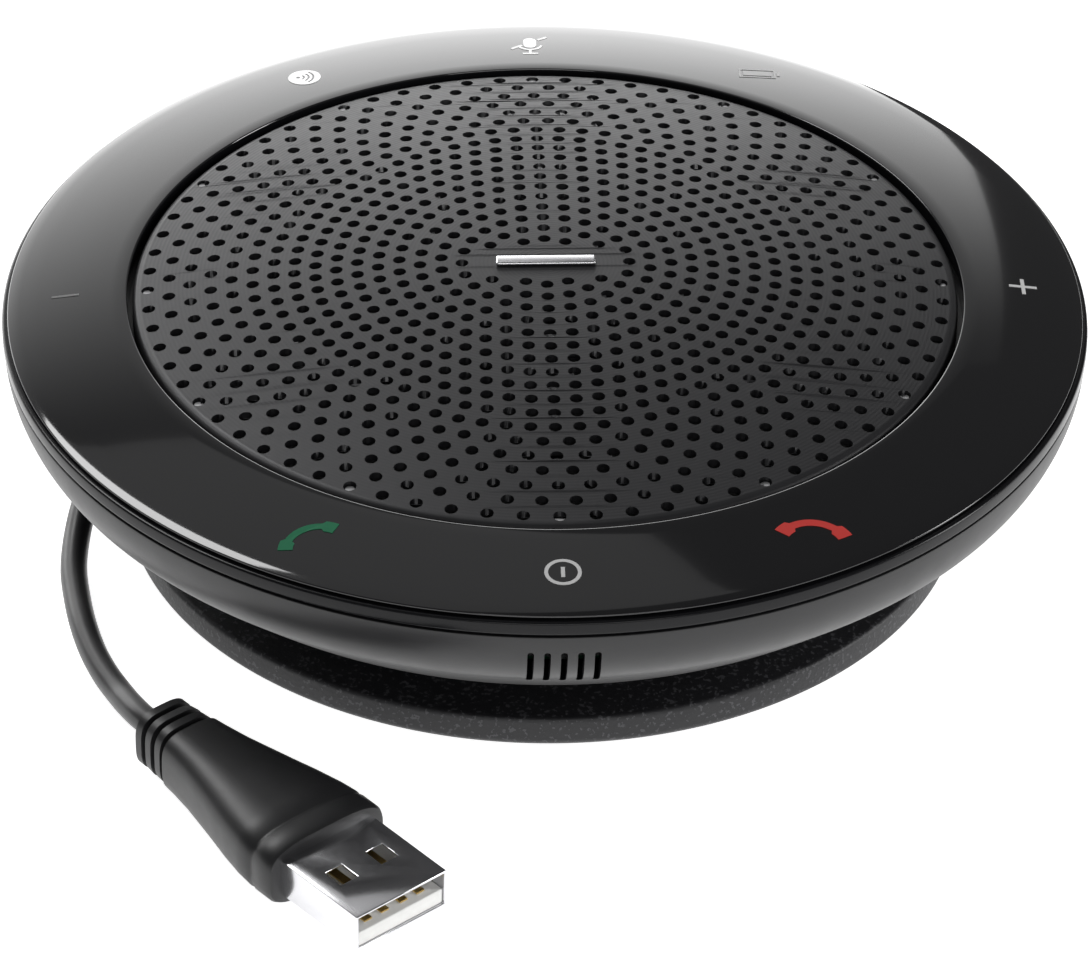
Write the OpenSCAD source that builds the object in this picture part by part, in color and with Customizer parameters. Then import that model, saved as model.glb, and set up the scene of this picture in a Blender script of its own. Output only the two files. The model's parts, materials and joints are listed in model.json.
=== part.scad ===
// Conference speakerphone: a round desk speaker with a domed grille and a
// touch ring, on a spool base that stores its own plug cable.
// Millimetres. Front is -Y, up is +Z, the origin is the centre of the underside.

/* [Body] */
// Outside diameter of the body
body_d = 120; // [119:0.5:122]
// Height of the middle of the grille dome
dome_top_z = 32.2; // [32:0.1:33]
// Diameter of the grille
grille_d = 91.2; // [90.6:0.2:91.6]
// Thickness of the grille plate
grille_t = 0.8; // [0.6:0.1:1]
// Radius of the grille's dome
dome_r = 290; // [280:1:300]
// Wall thickness of the lower housing
wall = 1.8; // [1.5:0.1:1.9]

/* [Touch ring] */
// Diameter of the ring's opening
ring_open_d = 92.4; // [92:0.2:93]
// Height of the ring's inner edge
ring_in_z = 28.9; // [28.7:0.05:29.1]
// Height of the ring's outer edge
ring_out_z = 27.25; // [27.2:0.05:27.5]
// Distance of the touch symbols and their lamps from the middle
symbol_r = 53; // [52.5:0.1:53]

/* [Microphone] */
// Number of slots in front of the microphone
slot_n = 5; // [3:2:7]
// Spacing of the slots
slot_pitch = 1.75; // [1.4:0.05:1.8]
// Width of a slot
slot_w = 0.7; // [0.5:0.05:0.9]

/* [Base] */
// Diameter of the base disc
base_d = 94; // [93:0.5:95]
// Height of the top of the base disc
base_z = 4.4; // [4:0.1:4.4]
// Height of the underside of the lower housing
under_z = 11; // [10.9:0.1:11.2]
// Radius of the spool that the cable is wound on
spool_r = 33; // [32.8:0.1:33]

/* [Cable and plug] */
// Diameter of the cable
cable_d = 3; // [2.8:0.1:3]
// Length of the plug's bare metal shell
shell_l = 12; // [11:0.5:13]
// Length of the moulded grip behind the shell, with its collar
grip_l = 28; // [28:1:30]

/* [Speaker driver] */
// Outer radius of the paper cone
cone_r = 18.5; // [18:0.1:18.5]
// Radius of the magnet
magnet_r = 14.5; // [13.5:0.1:15]
// Radius of the voice coil former, at its inner wall
former_r = 5.85; // [5.8:0.05:5.95]

/* [Hidden] */

fine = 144;                       // facets of the large round parts
mid = 48;                         // facets of the driver's round parts
small = 24;                       // facets of screws and pins
gap = 0.05;                       // clearance round a screw or a pin

body_r = body_d / 2;
base_r = base_d / 2;
grille_r = grille_d / 2;
ring_in_r = ring_open_d / 2;
ring_out_r = body_r - 0.6;
band_in_r = body_r - 2.5;
band_top_z = 26.7;
band_low_z = 25.1;
deck_z = 25.6;                    // top of the frame that carries the ring and the grille
deck_t = 1;
rim_z = 24.8;                     // outer rim of the lower housing
floor_z = under_z + wall;         // floor inside the lower housing
curve_r = 10.6;                   // radius of the lower housing's bulge
corner_a = 54;                    // angle at which the bulge ends in a corner
foot_z = 0.6;                     // underside of the base disc, above the rubber foot

board_z = 15.5;
board_t = 1.6;
board_top = board_z + board_t;
board_in_r = 29;
board_out_r = 51;
board_screw_a = [20, 160, 200, 340];
board_screw_r = 40;
boss_a = [45, 135, 225, 315];
boss_r = 45;
base_screw_r = 27.4;

grille_hole_r = 0.725;
hole_pitch = 2.31;                // between one circle of holes and the next
pin_circle_r = 19 * hole_pitch;   // the outermost circle of holes
pin_n = 12;

mic_z = board_top + 3;
slot_low_z = 16;
slot_top_z = 22.7;

yoke_z = 13.4;
magnet_z = 15;
plate_z = 18;
plate_top = 19.2;
pole_r = 5.5;
plate_hole_r = 6.7;
flange_z = 23.2;
flange_in_r = 22.5;
flange_out_r = 27.5;
gasket_z = 24;
driver_screw_r = 25.8;
driver_screw_a = [0, 90, 180, 270];
cone_z = 22.6;                    // neck of the cone
cone_h = 2;
cone_t = 0.35;
spider_z = 20.6;                  // ledge that the spider is glued to

// The free stretch of cable: it leaves the winding at the back left, passes
// over the edge of the base, comes down to the table and runs to the plug.
CABLE_ROUTE = [
    [-33.5, 20.5, 6.1], [-37.5, 16, 6.2], [-41, 12, 6.3], [-44.5, 8, 6.3], [-47.5, 4, 6], [-50, -0.5, 5],
    [-51.5, -5, 3.6], [-52.3, -10, 2.4], [-52.5, -15, 1.8], [-52, -20, 1.6], [-51.2, -25, 1.6],
    [-50, -30, 1.6], [-48.5, -34.5, 1.8], [-46.9, -38.4, 2.2], [-45.7, -41.4, 2.8], [-44.2, -44.6, 3.5],
    [-42.3, -47.4, 4]
];
plug_x = -42.3;
plug_y = -47.4;
plug_z = 4;                       // the plug's own axis above the table
plug_a = -51;
plug_l = grip_l + shell_l;
shell_w = 12;
shell_h = 4.5;
shell_t = 0.3;
shell_in_grip = 5;
collar_l = 5;

wind_r = 39.3;                    // outside of the wound cable
gland_a = 273;
gland_h = 3.4;

// Short leads inside the housing
BATTERY_ROUTE = [[18, 44, 20], [20, 44.3, 20.1], [22, 43.6, 19.6], [23.6, 42.2, 19], [25, 41, 18.6]];
SPEAKER_ROUTE = [[-17.2, -17.2, 20.7], [-19, -19, 20.9], [-20.8, -20.8, 20.5], [-22.3, -22.3, 19.6],
    [-23.4, -23.4, 18.8]];
INNER_ROUTE = [[1.6, -29.9, 6.3], [1.5, -28.4, 6.5], [1.4, -26.8, 7.6], [1.3, -25.9, 9.6], [1.3, -25.7, 12],
    [1.3, -26.1, 15], [1.4, -26.6, 17], [1.5, -27.6, 18.7], [1.7, -30, 19.1], [1.8, -33.9, 18.7]];

function unit(v) = v / norm(v);
function arc(c, r, a0, a1, n) = [for (i = [0 : n]) let (a = a0 + (a1 - a0) * i / n) c + r * [cos(a), sin(a)]];
function dome_z(r, drop) = dome_top_z - drop - (dome_r - sqrt(dome_r * dome_r - r * r));
function dome_line(r, drop, n) = [for (i = [0 : n]) [r * i / n, dome_z(r * i / n, drop)]];
function backwards(list) = [for (i = [len(list) - 1 : -1 : 0]) list[i]];

// A closed tube swept along a path of points
function along(path, i) = unit(path[min(i + 1, len(path) - 1)] - path[max(i - 1, 0)]);
function aside(path, i) = unit(cross([0, 0, 1], along(path, i)));
function tube_point(path, i, r, a) =
    path[i] + r * (cos(a) * aside(path, i) + sin(a) * cross(along(path, i), aside(path, i)));

module tube(path, r, sides = 8) {
    last = (len(path) - 1) * sides;
    walls = [for (i = [0 : len(path) - 2], k = [0 : sides - 1], half = [0, 1])
        let (j = (k + 1) % sides, a = i * sides, b = a + sides)
        half == 0 ? [a + k, b + k, b + j] : [a + k, b + j, a + j]];
    polyhedron(
        [for (i = [0 : len(path) - 1], k = [0 : sides - 1]) tube_point(path, i, r, 360 * k / sides)],
        concat(walls, [[for (k = [0 : sides - 1]) k]], [[for (k = [sides - 1 : -1 : 0]) last + k]]));
}

module ring(r_in, r_out, z0, z1, facets = fine) {
    difference() {
        translate([0, 0, z0]) cylinder(r = r_out, h = z1 - z0, $fn = facets);
        translate([0, 0, z0 - 1]) cylinder(r = r_in, h = z1 - z0 + 2, $fn = facets);
    }
}

module spun(points, facets = fine) {
    rotate_extrude($fn = facets) polygon(points);
}

// Copies its child at each angle, at a distance from the middle
module at_angles(angles, r, z = 0) {
    for (a = angles) rotate(a) translate([r, 0, z]) children();
}

module box(x, y, z) {
    translate([x[0], y[0], z[0]]) cube([x[1] - x[0], y[1] - y[0], z[1] - z[0]]);
}

module screw(shaft_r, head_r, head_h, length) {
    cylinder(r = head_r, h = head_h, $fn = small);
    cylinder(r = shaft_r, h = length, $fn = small);
}

// ---- top of the body ----

module touch_ring() {
    edge = 0.15;
    crown = 0.12;
    steps = 8;
    top = [for (i = [0 : steps]) let (t = i / steps)
        [ring_in_r + edge + t * (ring_out_r - ring_in_r - 3 * edge),
         ring_in_z + t * (ring_out_z - ring_in_z) + crown * 4 * t * (1 - t)]];
    color("#1b1b1d") spun(concat(
        [[ring_in_r, deck_z], [ring_in_r, ring_in_z - edge]], top,
        [[ring_out_r, ring_out_z - edge], [ring_out_r, band_top_z + 0.25], [ring_out_r - 0.4, band_top_z + 0.2],
         [ring_out_r - 0.4, band_top_z], [band_in_r - gap, band_top_z], [band_in_r - gap, deck_z],
         [band_in_r - 1, deck_z], [band_in_r - 1, band_top_z + 0.1],
         [ring_in_r + 1.8, band_top_z + 0.1], [ring_in_r + 1.8, deck_z]]));
}

module rim_band() {
    edge = 0.3;
    color("#161618") spun([
        [band_in_r, band_low_z], [body_r - edge, band_low_z], [body_r, band_low_z + edge],
        [body_r, band_top_z - edge], [body_r - edge, band_top_z], [band_in_r, band_top_z]]);
}

module grille_pin_holes(r) {
    for (k = [0 : pin_n - 1]) rotate(90 + 360 * k / pin_n) translate([pin_circle_r, 0, deck_z + 1])
        cylinder(r = r, h = dome_top_z - deck_z, $fn = small);
}

module speaker_grille() {
    roll = 0.8;
    shoulder_r = grille_r - roll;
    color("#3c3c3f") difference() {
        spun(concat(
            dome_line(shoulder_r, 0, 16),
            [[grille_r - 0.2, dome_z(shoulder_r, 0.25)], [grille_r, dome_z(shoulder_r, 0.6)],
             [grille_r, deck_z], [grille_r - grille_t, deck_z], [grille_r - grille_t, dome_z(shoulder_r, 1.3)]],
            backwards(dome_line(shoulder_r - 0.8, grille_t, 16))));
        grille_pin_holes(grille_hole_r);
    }
}

module grille_cloth() {
    thickness = 0.3;
    edge_r = grille_r - 1.6;
    drop = grille_t + 0.1;
    color("#101011") difference() {
        spun(concat(dome_line(edge_r, drop, 16), backwards(dome_line(edge_r, drop + thickness, 16))));
        grille_pin_holes(0.6);
    }
}

module grille_pins() {
    color("#c9c9cc") for (k = [0 : pin_n - 1]) rotate(90 + 360 * k / pin_n) translate([pin_circle_r, 0, deck_z])
        cylinder(r = 0.5, h = dome_z(pin_circle_r, 0.35) - deck_z, $fn = small);
}

module badge() {
    length = 11;
    width = 1.6;
    height = 0.45;
    sunk = 0.12;
    color("#d9dadc") translate([0, 0, dome_top_z - sunk]) linear_extrude(height) union() {
        square([length - width, width], center = true);
        for (s = [-1, 1]) translate([s * (length - width) / 2, 0]) circle(r = width / 2, $fn = small);
    }
}

module top_frame() {
    color("#29292b") difference() {
        union() {
            translate([0, 0, deck_z - deck_t]) cylinder(r = band_in_r - 0.1, h = deck_t, $fn = fine);
            at_angles(boss_a, boss_r, floor_z) cylinder(r = 2.2, h = deck_z - deck_t / 2 - floor_z, $fn = small);
        }
        translate([0, 0, deck_z - 2]) cylinder(r = 24, h = 3, $fn = fine);
        at_angles(boss_a, boss_r, floor_z - 1) cylinder(r = 1.1 + gap, h = 9, $fn = small);
        at_angles(driver_screw_a, driver_screw_r, deck_z - deck_t - 1) cylinder(r = 0.8 + gap, h = 1.8, $fn = small);
        rotate(30) box([49.4, 50.2], [-4.3, 4.3], [deck_z - 2, deck_z + 1]);
    }
}

// ---- lower housing and base ----

module slots() {
    for (i = [0 : slot_n - 1]) translate([(i - (slot_n - 1) / 2) * slot_pitch, -body_r + 9, 0]) rotate([90, 0, 0])
        linear_extrude(12) union() {
            translate([-slot_w / 2, slot_low_z]) square([slot_w, slot_top_z - slot_w / 2 - slot_low_z]);
            translate([0, slot_top_z - slot_w / 2]) circle(r = slot_w / 2, $fn = small);
        }
}

module lower_housing() {
    c = [body_r - 0.1 - curve_r, rim_z];
    seam_r = body_r - 0.7;
    outside = arc(c, curve_r, 0, -corner_a, 12);
    inside = arc(c, curve_r - wall, -corner_a, 0, 12);
    color("#232325") difference() {
        union() {
            spun(concat(
                [[seam_r, band_low_z], [seam_r, rim_z]], outside,
                [[body_r - 5.4, 15.3], [body_r - 9, 12.1], [body_r - 10, under_z + 0.3], [body_r - 11, under_z],
                 [spool_r - 8, under_z], [spool_r - 8, floor_z], [body_r - 10.6, floor_z]],
                inside, [[body_r - 1.9, band_low_z]]));
            ring(4, spool_r - 7, under_z, floor_z);
            at_angles(board_screw_a, board_screw_r, floor_z - 0.5)
                cylinder(r = 2.5, h = board_z - floor_z + 0.5, $fn = small);
            at_angles(boss_a, base_screw_r, floor_z - 0.5) cylinder(r = 2.4, h = 2.2, $fn = small);
        }
        slots();
        at_angles(boss_a, boss_r, under_z - 1) cylinder(r = 1.1 + gap, h = 4, $fn = small);
        at_angles(boss_a, boss_r, under_z - 1) cylinder(r = 2.1 + gap, h = 1.8, $fn = small);
        at_angles(board_screw_a, board_screw_r, floor_z + 0.2) cylinder(r = 0.75 + gap, h = 4, $fn = small);
        at_angles(boss_a, base_screw_r, under_z - 1) cylinder(r = 1.25 + gap, h = 4.2, $fn = small);
        translate([1.3, -25.7, under_z - 1]) cylinder(r = 2, h = 4, $fn = small);
    }
}

module housing_screws() {
    color("#8f9093") at_angles(boss_a, boss_r, under_z) screw(1.1, 2.1, 0.75, 9.4);
}

module cable_hub() {
    color("#1d1d1f") difference() {
        ring(spool_r - 9, spool_r, base_z, under_z);
        at_angles(boss_a, base_screw_r, base_z - 1) cylinder(r = 1.25 + gap, h = under_z - base_z + 2, $fn = small);
        rotate(gland_a) box([spool_r - 10, spool_r - 2.9], [-3.05, 3.05], [base_z - 1, under_z + 1]);
        rotate(gland_a) box([spool_r - 4, spool_r + 1], [-3.05, 3.05], [base_z - 1, base_z + 0.25 + gland_h]);
    }
}

module base_disc() {
    color("#2a2a2c") difference() {
        spun([[0, foot_z], [base_r - 0.8, foot_z], [base_r, foot_z + 0.8], [base_r - 0.1, base_z - 0.7],
              [base_r - 0.35, base_z - 0.2], [base_r - 0.9, base_z], [0, base_z]]);
        translate([0, 0, 2.8]) cylinder(r = spool_r - 9, h = 4, $fn = fine);
        ring(37.9, 43.1, foot_z - 1, foot_z + 0.8);
        at_angles(boss_a, base_screw_r, -1) cylinder(r = 2.3, h = 3, $fn = small);
        at_angles(boss_a, base_screw_r, -1) cylinder(r = 1.25 + gap, h = 7, $fn = small);
        translate([0, 0, -1]) cylinder(r = 20, h = 1.9, $fn = fine);
    }
}

module foot_ring() {
    color("#151516") spun([[38, foot_z + 0.8], [38, 0.25], [38.25, 0], [42.75, 0], [43, 0.25], [43, foot_z + 0.8]]);
}

module base_screws() {
    color("#8f9093") at_angles(boss_a, base_screw_r, 0.9) screw(1.25, 2.2, 1.1, 12.4);
}

// ---- touch board and lamps ----

LAMP_ANGLES = [0, 60, 90, 120, 180, 270];
GREEN_ANGLE = 240;
RED_ANGLE = 300;

module touch_board() {
    color("#1f4d33") ring(ring_in_r + 2, band_in_r - 1.2, deck_z, deck_z + 0.5);
}

module touch_ribbon() {
    color("#b9772d") rotate(30) box([49.7, 49.9], [-4, 4], [board_top, deck_z]);
}

module light_mask() {
    color("white") difference() {
        ring(ring_in_r + 2.2, band_in_r - 1.3, deck_z + 0.5, band_top_z + 0.05);
        at_angles(concat(LAMP_ANGLES, [GREEN_ANGLE, RED_ANGLE]), symbol_r, deck_z)
            cylinder(r = 2.6, h = 3, $fn = small);
    }
}

module lamp() {
    translate([-0.4, -0.8, 0]) cube([0.8, 1.6, 0.4]);
}

module lamps_white() {
    color("#f4f4f0") at_angles(LAMP_ANGLES, symbol_r, deck_z + 0.5) lamp();
}

module lamp_green() {
    color("#00693c") at_angles([GREEN_ANGLE], symbol_r, deck_z + 0.5) lamp();
}

module lamp_red() {
    color("#be3232") at_angles([RED_ANGLE], symbol_r, deck_z + 0.5) lamp();
}

// ---- electronics ----

module main_board() {
    color("#1f5a3a") difference() {
        ring(board_in_r, board_out_r, board_z, board_top);
        at_angles(boss_a, boss_r, board_z - 1) cylinder(r = 2.6, h = 4, $fn = small);
        at_angles(board_screw_a, board_screw_r, board_z - 1) cylinder(r = 0.75 + gap, h = 4, $fn = small);
    }
}

module board_chips() {
    color("#202022") union() {
        box([34, 42], [-12, -4], [board_top, board_top + 1]);
        box([34, 40], [1, 7], [board_top, board_top + 0.9]);
        rotate(180) box([33, 42], [-4.5, 4.5], [board_top, board_top + 1.2]);
        rotate(250) box([36, 41], [-3, 3], [board_top, board_top + 0.9]);
        rotate(290) box([38, 44], [-3, 3], [board_top, board_top + 0.9]);
        at_angles([205, 212, 219, 321, 328, 335], 47, board_top) cylinder(r = 1.6, h = 3.4, $fn = small);
    }
}

module board_sockets() {
    color("#e9e7dd") union() {
        box([25, 29], [38.5, 43.5], [board_top, board_top + 3]);
        rotate(225) box([33.1, 36.5], [-2.5, 2.5], [board_top, board_top + 3]);
        box([-1.2, 4.8], [-38, -33.9], [board_top, board_top + 3]);
        rotate(30) box([47.2, 49.6], [-4.4, 4.4], [board_top, board_top + 1.2]);
    }
}

module board_screws() {
    color("#b4b5b8") at_angles(board_screw_a, board_screw_r, board_top + 0.9) mirror([0, 0, 1])
        screw(0.75, 1.6, 0.9, board_t + 2.6);
}

module battery() {
    color("#9a9da1") box([-18, 18], [32.5, 50], [board_top + 0.5, board_top + 5.5]);
}

module battery_pad() {
    color("#e8e2c8") box([-17, 17], [33.5, 49], [board_top, board_top + 0.5]);
}

module battery_lead() {
    color("#b3262b") tube(BATTERY_ROUTE, 0.7, 6);
}

module microphone() {
    color("#c7c8ca") translate([0, -49.5, mic_z]) rotate([90, 0, 0]) cylinder(r = 2, h = 2.2, $fn = small);
}

module microphone_boot() {
    color("#121213") translate([0, -49, mic_z]) rotate([90, 0, 0]) difference() {
        cylinder(r = 3, h = 4.2, $fn = small);
        translate([0, 0, 0.5]) cylinder(r = 2 + gap, h = 2.3, $fn = small);
        translate([0, 0, -1]) cylinder(r = 1.2, h = 7, $fn = small);
    }
}

module slot_mesh() {
    color("#0e0e0f") box([-5.4, 5.4], [-54.3, -53.9], [18.4, 23.2]);
}

// ---- speaker driver ----

module driver_basket() {
    color("#55575b") difference() {
        spun([[13, plate_top], [17, plate_top], [flange_in_r + 0.1, flange_z - 0.7], [flange_in_r + 0.9, flange_z],
              [flange_out_r, flange_z], [flange_out_r, gasket_z], [flange_in_r, gasket_z],
              [flange_in_r - 0.5, flange_z - 0.1], [17.2, 20.3], [17.2, spider_z], [15.6, spider_z],
              [15.6, plate_top + 0.8], [13, plate_top + 0.8]], 96);
        at_angles([30, 90, 150, 210, 270, 330], 17.6, plate_top + 0.9) translate([0, -4, 0]) cube([3.4, 8, 2]);
        at_angles(driver_screw_a, driver_screw_r, flange_z - 2) cylinder(r = 0.8 + gap, h = 4, $fn = small);
    }
}

module driver_gasket() {
    color("#18181a") difference() {
        ring(24, flange_out_r, gasket_z, deck_z - deck_t, 96);
        at_angles(driver_screw_a, driver_screw_r, gasket_z - 1) cylinder(r = 0.8 + gap, h = 3, $fn = small);
    }
}

module driver_yoke() {
    color("#8d8f92") union() {
        translate([0, 0, yoke_z]) cylinder(r = magnet_r - 0.5, h = magnet_z - yoke_z, $fn = mid);
        translate([0, 0, yoke_z]) cylinder(r = pole_r, h = 19 - yoke_z, $fn = mid);
    }
}

module driver_magnet() {
    color("#4a4a4c") ring(8, magnet_r, magnet_z, plate_z, mid);
}

module driver_top_plate() {
    color("#8d8f92") ring(plate_hole_r, magnet_r + 0.5, plate_z, plate_top, mid);
}

module driver_screws() {
    color("#b4b5b8") at_angles(driver_screw_a, driver_screw_r, flange_z - 0.9) screw(0.8, 1.5, 0.85, 3);
}

module driver_terminal() {
    color("#8a6a3a") rotate(225) box([22.9, 24.2], [-3, 3], [20.4, 22.3]);
}

module speaker_leads() {
    color("#c8862b") tube(SPEAKER_ROUTE, 0.5, 6);
}

module surround() {
    c = [cone_r + 2.2, 24.5];
    roll_r = 2.1;
    t = 0.3;
    lip_z = cone_z + cone_h + cone_t;
    color("#161617") spun(concat(
        [[cone_r - 1, lip_z], [cone_r - 1, lip_z + t], [cone_r - 0.1, lip_z + t]],
        arc(c, roll_r, 160, 10, 10),
        [[cone_r + 4.4, gasket_z + t + 0.1], [cone_r + 5.3, gasket_z + t], [cone_r + 5.3, gasket_z],
         [cone_r + 4, gasket_z]],
        arc(c, roll_r - t, 0, 165, 10),
        [[cone_r + 0.1, lip_z]]), 96);
}

module spider() {
    t = 0.3;
    wave = 0.35;
    waves = 3;
    r0 = former_r + 0.25;
    r1 = 16.3;
    line = [for (i = [0 : 24]) let (s = i / 24) [r0 + s * (r1 - r0), spider_z - wave * sin(360 * waves * s)]];
    color("#c79a4b") spun(concat(line, backwards([for (p = line) p + [0, t]])), 96);
}

module cone() {
    neck = former_r + 0.2;
    color("#2c2b2a") spun([
        [neck, cone_z], [neck + 0.9, cone_z], [cone_r, cone_z + cone_h], [cone_r, cone_z + cone_h + cone_t],
        [cone_r - 1.5, cone_z + cone_h + cone_t], [neck, cone_z + cone_t + 0.2]], 96);
}

module dust_cap() {
    r = former_r + 1.4;
    h = 2;
    sphere_r = (r * r + h * h) / (2 * h);
    z0 = cone_z + 0.8;
    shape = [for (i = [0 : 8]) let (x = r * i / 8) [x, z0 + h - sphere_r + sqrt(sphere_r * sphere_r - x * x)]];
    color("#1f1e1e") spun(concat(shape, backwards([for (p = shape) p + [0, 0.3]])), mid);
}

module coil_former() {
    color("#d8b26a") ring(former_r, former_r + 0.2, 16.6, cone_z + 0.4, mid);
}

module voice_coil() {
    color("#b0632c") ring(former_r + 0.2, former_r + 0.5, 16.8, 20.1, mid);
}

// ---- cable and plug ----

module cable_gland() {
    length = 8;
    color("#131314") rotate(gland_a) union() {
        box([spool_r - 3, spool_r + 1.4], [-3, 3], [base_z + 0.2, base_z + 0.2 + gland_h]);
        translate([spool_r + cable_d / 2 + 0.1, -2, base_z + 0.2 + gland_h / 2]) rotate([-90, 0, 0])
            cylinder(r1 = 1.7, r2 = 1.55, h = length - 2, $fn = small);
    }
}

module inner_cable() {
    color("#1a1a1b") tube(INNER_ROUTE, 1.2, 8);
}

module cable_winding() {
    color("#161617") difference() {
        ring(spool_r + gap, wind_r, base_z + 0.1, base_z + 6.3);
        rotate(gland_a) box([spool_r - 1, spool_r + 3.6], [-3.4, 4.6], [base_z, base_z + 0.5 + gland_h]);
    }
}

module cable_run() {
    color("#161617") tube(CABLE_ROUTE, cable_d / 2, 8);
}

module at_plug() {
    translate([plug_x, plug_y, plug_z]) rotate(plug_a) children();
}

module grip_plan() {
    wide = 7.75;
    polygon([[collar_l - 1, -3.6], [9, -4.4], [14, -5.6], [20, -7.1], [24, -wide], [grip_l, -wide],
             [grip_l, wide], [24, wide], [20, 7.1], [14, 5.6], [9, 4.4], [collar_l - 1, 3.6]]);
}

module grip_side() {
    high = plug_z;
    polygon([[collar_l - 1, -3.5], [9, -3.7], [14, -high], [grip_l, -high],
             [grip_l, high], [23, high], [14, 3.9], [9, 3.7], [collar_l - 1, 3.5]]);
}

module plug_grip() {
    rib_n = 3;
    rib_step = collar_l / rib_n;
    color("#1a1a1b") at_plug() difference() {
        union() {
            intersection() {
                translate([0, 0, -5]) linear_extrude(10) grip_plan();
                translate([0, 10, 0]) rotate([90, 0, 0]) linear_extrude(20) grip_side();
            }
            rotate([0, 90, 0]) cylinder(r = 2.8, h = collar_l, $fn = small);
            for (i = [0 : rib_n - 1]) translate([i * rib_step, 0, 0]) rotate([0, 90, 0])
                cylinder(r = 3.5, h = rib_step * 0.6, $fn = small);
        }
        box([grip_l - shell_in_grip, grip_l + 1], [-shell_w / 2, shell_w / 2], [-shell_h / 2, shell_h / 2]);
    }
}

module plug_shell() {
    window_l = 2.6;
    window_w = 2.2;
    color("#c4c5c8") at_plug() difference() {
        box([grip_l - shell_in_grip, plug_l], [-shell_w / 2, shell_w / 2], [-shell_h / 2, shell_h / 2]);
        box([grip_l - shell_in_grip + 1, plug_l + 1], [-shell_w / 2 + shell_t, shell_w / 2 - shell_t],
            [-shell_h / 2 + shell_t, shell_h / 2 - shell_t]);
        for (y = [-2.7, 2.7]) box([plug_l - 5.2 - window_l, plug_l - 5.2], [y - window_w / 2, y + window_w / 2],
            [0, shell_h]);
    }
}

module plug_insulator() {
    color("#f2f2ef") at_plug() box([grip_l - shell_in_grip + 1.1, plug_l - 0.25],
        [-shell_w / 2 + shell_t + gap, shell_w / 2 - shell_t - gap], [-shell_h / 2 + shell_t + gap, -0.1]);
}

module plug_contacts() {
    color("#c9a24a") at_plug() for (y = [-3.5, -1.25, 1.25, 3.5])
        box([grip_l, plug_l - 1.2], [y - 0.5, y + 0.5], [-0.1, 0.1]);
}

touch_ring();
rim_band();
speaker_grille();
grille_cloth();
grille_pins();
badge();
top_frame();
lower_housing();
housing_screws();
cable_hub();
base_disc();
foot_ring();
base_screws();
touch_board();
touch_ribbon();
light_mask();
lamps_white();
lamp_green();
lamp_red();
main_board();
board_chips();
board_sockets();
board_screws();
battery();
battery_pad();
battery_lead();
microphone();
microphone_boot();
slot_mesh();
driver_basket();
driver_gasket();
driver_yoke();
driver_magnet();
driver_top_plate();
driver_screws();
driver_terminal();
speaker_leads();
surround();
spider();
cone();
dust_cap();
coil_former();
voice_coil();
cable_gland();
inner_cable();
cable_winding();
cable_run();
plug_grip();
plug_shell();
plug_insulator();
plug_contacts();
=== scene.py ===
"""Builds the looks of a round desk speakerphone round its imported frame."""
import json
from math import atan2, cos, hypot, pi, radians, sin, sqrt
import bpy
from bpy.props import FloatProperty, FloatVectorProperty, IntProperty, PointerProperty
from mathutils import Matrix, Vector

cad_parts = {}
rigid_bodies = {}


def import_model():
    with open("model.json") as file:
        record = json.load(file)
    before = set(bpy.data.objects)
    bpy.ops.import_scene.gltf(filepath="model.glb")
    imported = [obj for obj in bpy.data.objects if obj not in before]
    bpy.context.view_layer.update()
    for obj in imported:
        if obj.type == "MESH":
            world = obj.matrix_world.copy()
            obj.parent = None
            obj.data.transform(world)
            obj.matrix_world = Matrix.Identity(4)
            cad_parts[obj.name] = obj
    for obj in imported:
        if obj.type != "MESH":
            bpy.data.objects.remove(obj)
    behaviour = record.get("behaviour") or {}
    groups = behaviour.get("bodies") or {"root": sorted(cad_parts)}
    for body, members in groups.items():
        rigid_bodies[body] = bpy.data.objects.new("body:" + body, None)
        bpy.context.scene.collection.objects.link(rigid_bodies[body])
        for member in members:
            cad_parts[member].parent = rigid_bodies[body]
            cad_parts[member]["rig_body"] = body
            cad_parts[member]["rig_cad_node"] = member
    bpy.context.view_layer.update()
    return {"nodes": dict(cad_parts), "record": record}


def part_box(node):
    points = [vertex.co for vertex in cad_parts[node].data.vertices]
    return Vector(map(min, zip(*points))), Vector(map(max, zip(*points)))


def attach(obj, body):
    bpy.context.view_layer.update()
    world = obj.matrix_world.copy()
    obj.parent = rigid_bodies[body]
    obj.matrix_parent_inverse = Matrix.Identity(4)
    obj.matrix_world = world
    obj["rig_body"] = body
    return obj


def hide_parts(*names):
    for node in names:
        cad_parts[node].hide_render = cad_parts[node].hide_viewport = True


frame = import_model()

bl_info = {
    "name": "Conference Speakerphone",
    "version": (1, 0, 0),
    "blender": (4, 5, 0),
    "location": "View3D > Sidebar > Speakerphone",
    "description": "Builds the grille, touch ring, housing, cable and plug of a desk speakerphone",
    "category": "Object",
}

MM = 0.001
HOUSING = "housing"


def top_of(node):
    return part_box(node)[1][2]


def low_of(node):
    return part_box(node)[0][2]


def radius_of(node):
    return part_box(node)[1][0]


RING_R = radius_of("touch_ring")
RING_OPEN_R = RING_R - 13.2 * MM
GRILLE_R = radius_of("speaker_grille")
DOME_TOP = top_of("speaker_grille")
DECK = low_of("touch_ring")
BAND_R = radius_of("rim_band")
BASE_R = radius_of("base_disc")
SYMBOL_R = 53 * MM
BADGE_CLEAR_X = 8.6 * MM
BADGE_CLEAR_Y = 2.9 * MM
RIM_STEPS = 216

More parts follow.
